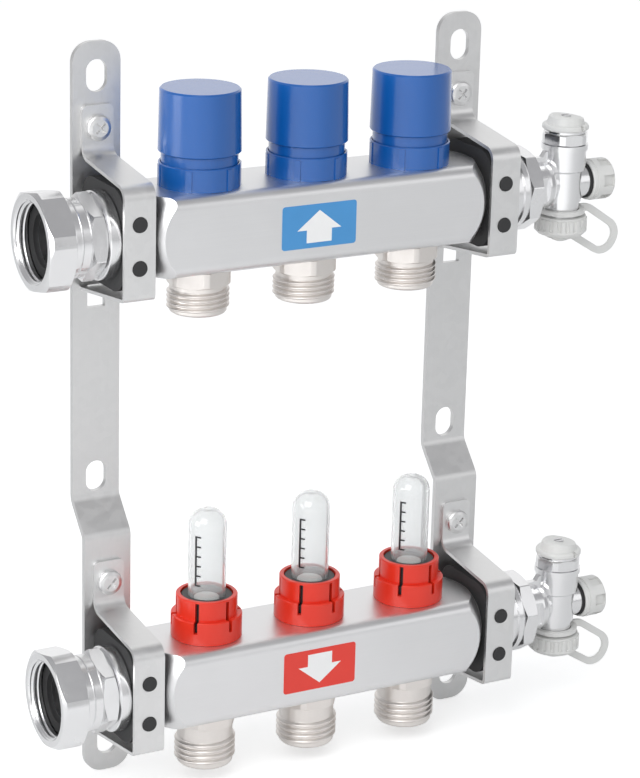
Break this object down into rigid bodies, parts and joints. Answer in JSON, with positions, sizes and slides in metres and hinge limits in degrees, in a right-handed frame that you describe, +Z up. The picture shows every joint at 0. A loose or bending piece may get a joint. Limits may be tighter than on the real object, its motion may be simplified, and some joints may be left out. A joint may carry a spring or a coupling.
{
  "type": "heating manifold",
  "caption": "Two-bar underfloor heating manifold on wall brackets, with hand caps, flow meters, threaded outlets, unions and vent and drain valves.",
  "frame": {"origin": "on the wall plane, midway between the two brackets, level with the axis of the return bar (the upper one)", "axes": "+X along the bars towards the vent and drain valves, +Y into the wall, +Z up"},
  "size_m": [0.2855, 0.0577, 0.3185],
  "materials": {
    "bracket_steel": "zinc-plated strip, satin",
    "strap_steel": "zinc-plated sheet, satin",
    "screw_steel": "zinc-plated",
    "clamp_rubber": "matt moulded",
    "bar_steel": "stainless, satin",
    "insert_brass": "turned",
    "spindle_steel": "ground",
    "cap_blue": "moulded, semi-gloss",
    "outlet_nickel": "nickel-plated, satin",
    "regulator_black": "moulded",
    "sight_glass": "clear plastic",
    "sleeve_red": "moulded, semi-gloss",
    "indicator_white": "moulded",
    "seal_rubber": "moulded",
    "fitting_nickel": "nickel-plated, polished",
    "vent_nickel": "nickel-plated, polished",
    "vent_screw": "nickel-plated",
    "white_plastic": "moulded, semi-gloss"
  },
  "bodies": {
    "frame": {"bracket_left": "bracket_steel", "strap_upper_left": "strap_steel", "clamp_rubber_upper_left": "clamp_rubber", "strap_lower_left": "strap_steel", "clamp_rubber_lower_left": "clamp_rubber", "bracket_right": "bracket_steel", "strap_upper_right": "strap_steel", "clamp_rubber_upper_right": "clamp_rubber", "strap_lower_right": "strap_steel", "clamp_rubber_lower_right": "clamp_rubber", "strap_screws": "screw_steel", "return_bar": "bar_steel", "supply_bar": "bar_steel", "valve_inserts": "insert_brass", "return_outlets": "outlet_nickel", "flow_inserts": "insert_brass", "supply_outlets": "outlet_nickel", "union_gaskets": "seal_rubber", "drain_seals": "seal_rubber", "vent_inserts": "vent_nickel", "hose_cap_leashes": "white_plastic", "union_tailpiece_upper": "fitting_nickel", "end_adapter_upper": "fitting_nickel", "valve_body_upper": "fitting_nickel", "union_tailpiece_lower": "fitting_nickel", "end_adapter_lower": "fitting_nickel", "valve_body_lower": "fitting_nickel", "cap_collar_1": "cap_blue", "cap_collar_2": "cap_blue", "cap_collar_3": "cap_blue"},
    "spindle_1": {"valve_spindle_1": "spindle_steel"},
    "cap_1": {"hand_cap_1": "cap_blue"},
    "regulator_1": {"regulating_nut_1": "regulator_black", "sight_glass_1": "sight_glass"},
    "sleeve_1": {"lock_sleeve_1": "sleeve_red"},
    "indicator_1": {"flow_indicator_1": "indicator_white"},
    "spindle_2": {"valve_spindle_2": "spindle_steel"},
    "cap_2": {"hand_cap_2": "cap_blue"},
    "regulator_2": {"regulating_nut_2": "regulator_black", "sight_glass_2": "sight_glass"},
    "sleeve_2": {"lock_sleeve_2": "sleeve_red"},
    "indicator_2": {"flow_indicator_2": "indicator_white"},
    "spindle_3": {"valve_spindle_3": "spindle_steel"},
    "cap_3": {"hand_cap_3": "cap_blue"},
    "regulator_3": {"regulating_nut_3": "regulator_black", "sight_glass_3": "sight_glass"},
    "sleeve_3": {"lock_sleeve_3": "sleeve_red"},
    "indicator_3": {"flow_indicator_3": "indicator_white"},
    "union_nut_upper": {"union_nut_upper": "fitting_nickel"},
    "vent_cap_upper": {"vent_cap_upper": "white_plastic"},
    "vent_screw_upper": {"vent_screw_upper": "vent_screw"},
    "drain_stem_upper": {"drain_stem_upper": "spindle_steel"},
    "drain_knob_upper": {"drain_knob_upper": "white_plastic"},
    "hose_cap_upper": {"hose_cap_upper": "white_plastic"},
    "union_nut_lower": {"union_nut_lower": "fitting_nickel"},
    "vent_cap_lower": {"vent_cap_lower": "white_plastic"},
    "vent_screw_lower": {"vent_screw_lower": "vent_screw"},
    "drain_stem_lower": {"drain_stem_lower": "spindle_steel"},
    "drain_knob_lower": {"drain_knob_lower": "white_plastic"},
    "hose_cap_lower": {"hose_cap_lower": "white_plastic"}
  },
  "joints": [
    {"name": "spindle_lift_1", "type": "slide", "parent": "frame", "child": "spindle_1", "axis": [0, 0, 1], "range_m": [0, 0.0035]},
    {"name": "cap_turn_1", "type": "hinge", "parent": "spindle_1", "child": "cap_1", "pos_m": [-0.05, -0.024, 0.04], "axis": [0, 0, 1], "range_deg": [0, 840]},
    {"name": "regulator_turn_1", "type": "hinge", "parent": "frame", "child": "regulator_1", "pos_m": [-0.05, -0.036, -0.165], "axis": [0, 0, 1], "range_deg": [0, 900]},
    {"name": "sleeve_lift_1", "type": "slide", "parent": "frame", "child": "sleeve_1", "axis": [0, 0, 1], "range_m": [0, 0.004]},
    {"name": "indicator_rise_1", "type": "slide", "parent": "frame", "child": "indicator_1", "axis": [0, 0, 1], "range_m": [0, 0.027]},
    {"name": "spindle_lift_2", "type": "slide", "parent": "frame", "child": "spindle_2", "axis": [0, 0, 1], "range_m": [0, 0.0035]},
    {"name": "cap_turn_2", "type": "hinge", "parent": "spindle_2", "child": "cap_2", "pos_m": [0, -0.024, 0.04], "axis": [0, 0, 1], "range_deg": [0, 840]},
    {"name": "regulator_turn_2", "type": "hinge", "parent": "frame", "child": "regulator_2", "pos_m": [0, -0.036, -0.165], "axis": [0, 0, 1], "range_deg": [0, 900]},
    {"name": "sleeve_lift_2", "type": "slide", "parent": "frame", "child": "sleeve_2", "axis": [0, 0, 1], "range_m": [0, 0.004]},
    {"name": "indicator_rise_2", "type": "slide", "parent": "frame", "child": "indicator_2", "axis": [0, 0, 1], "range_m": [0, 0.027]},
    {"name": "spindle_lift_3", "type": "slide", "parent": "frame", "child": "spindle_3", "axis": [0, 0, 1], "range_m": [0, 0.0035]},
    {"name": "cap_turn_3", "type": "hinge", "parent": "spindle_3", "child": "cap_3", "pos_m": [0.05, -0.024, 0.04], "axis": [0, 0, 1], "range_deg": [0, 840]},
    {"name": "regulator_turn_3", "type": "hinge", "parent": "frame", "child": "regulator_3", "pos_m": [0.05, -0.036, -0.165], "axis": [0, 0, 1], "range_deg": [0, 900]},
    {"name": "sleeve_lift_3", "type": "slide", "parent": "frame", "child": "sleeve_3", "axis": [0, 0, 1], "range_m": [0, 0.004]},
    {"name": "indicator_rise_3", "type": "slide", "parent": "frame", "child": "indicator_3", "axis": [0, 0, 1], "range_m": [0, 0.027]},
    {"name": "union_nut_turn_upper", "type": "hinge", "parent": "frame", "child": "union_nut_upper", "pos_m": [-0.1175, -0.024, 0], "axis": [1, 0, 0], "continuous": true},
    {"name": "vent_cap_swivel_upper", "type": "hinge", "parent": "frame", "child": "vent_cap_upper", "pos_m": [0.1294, -0.024, 0.026], "axis": [0, 0, 1], "continuous": true},
    {"name": "vent_screw_turn_upper", "type": "hinge", "parent": "frame", "child": "vent_screw_upper", "pos_m": [0.1294, -0.024, 0.026], "axis": [0, 0, 1], "range_deg": [0, 360]},
    {"name": "drain_stem_travel_upper", "type": "slide", "parent": "frame", "child": "drain_stem_upper", "axis": [1, 0, 0], "range_m": [0, 0.003]},
    {"name": "drain_knob_turn_upper", "type": "hinge", "parent": "drain_stem_upper", "child": "drain_knob_upper", "pos_m": [0.1454, -0.024, 0], "axis": [1, 0, 0], "range_deg": [0, 1080]},
    {"name": "hose_cap_turn_upper", "type": "hinge", "parent": "frame", "child": "hose_cap_upper", "pos_m": [0.1294, -0.024, -0.018], "axis": [0, 0, -1], "range_deg": [0, 1080]},
    {"name": "union_nut_turn_lower", "type": "hinge", "parent": "frame", "child": "union_nut_lower", "pos_m": [-0.1175, -0.036, -0.195], "axis": [1, 0, 0], "continuous": true},
    {"name": "vent_cap_swivel_lower", "type": "hinge", "parent": "frame", "child": "vent_cap_lower", "pos_m": [0.1294, -0.036, -0.169], "axis": [0, 0, 1], "continuous": true},
    {"name": "vent_screw_turn_lower", "type": "hinge", "parent": "frame", "child": "vent_screw_lower", "pos_m": [0.1294, -0.036, -0.169], "axis": [0, 0, 1], "range_deg": [0, 360]},
    {"name": "drain_stem_travel_lower", "type": "slide", "parent": "frame", "child": "drain_stem_lower", "axis": [1, 0, 0], "range_m": [0, 0.003]},
    {"name": "drain_knob_turn_lower", "type": "hinge", "parent": "drain_stem_lower", "child": "drain_knob_lower", "pos_m": [0.1454, -0.036, -0.195], "axis": [1, 0, 0], "range_deg": [0, 1080]},
    {"name": "hose_cap_turn_lower", "type": "hinge", "parent": "frame", "child": "hose_cap_lower", "pos_m": [0.1294, -0.036, -0.213], "axis": [0, 0, -1], "range_deg": [0, 1080]}
  ],
  "couplings": [
    {"joint": "spindle_lift_1", "follows": "cap_turn_1", "m_per_rad": 0.00023873},
    {"joint": "spindle_lift_2", "follows": "cap_turn_2", "m_per_rad": 0.00023873},
    {"joint": "spindle_lift_3", "follows": "cap_turn_3", "m_per_rad": 0.00023873},
    {"joint": "drain_stem_travel_upper", "follows": "drain_knob_turn_upper", "m_per_rad": 0.00015915},
    {"joint": "drain_stem_travel_lower", "follows": "drain_knob_turn_lower", "m_per_rad": 0.00015915}
  ]
}
